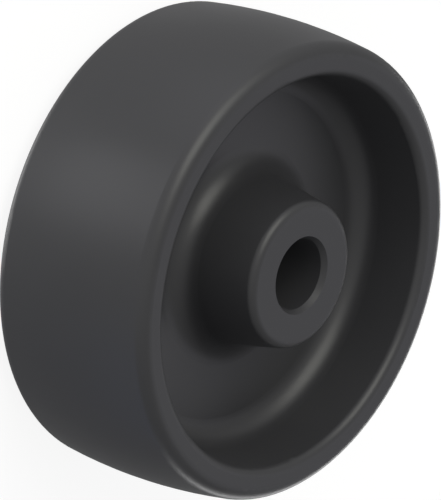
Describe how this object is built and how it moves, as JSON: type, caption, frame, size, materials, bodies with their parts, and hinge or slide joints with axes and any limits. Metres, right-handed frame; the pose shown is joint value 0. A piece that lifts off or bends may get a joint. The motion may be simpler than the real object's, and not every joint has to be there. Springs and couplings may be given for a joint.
{
  "type": "castor wheel",
  "caption": "One-piece moulded plastic castor wheel with a solid web, deep hollows on both sides, a longer hub and a plain chamfered bore.",
  "frame": {"origin": "middle of the bore, on the wheel's mid plane", "axes": "+Z along the bore axis; the wheel lies flat on its lower hub face, at -Z"},
  "size_m": [0.1, 0.1, 0.0432],
  "materials": {
    "wheel": "fine moulded satin"
  },
  "bodies": {
    "root": {"wheel": "wheel"}
  },
  "joints": []
}
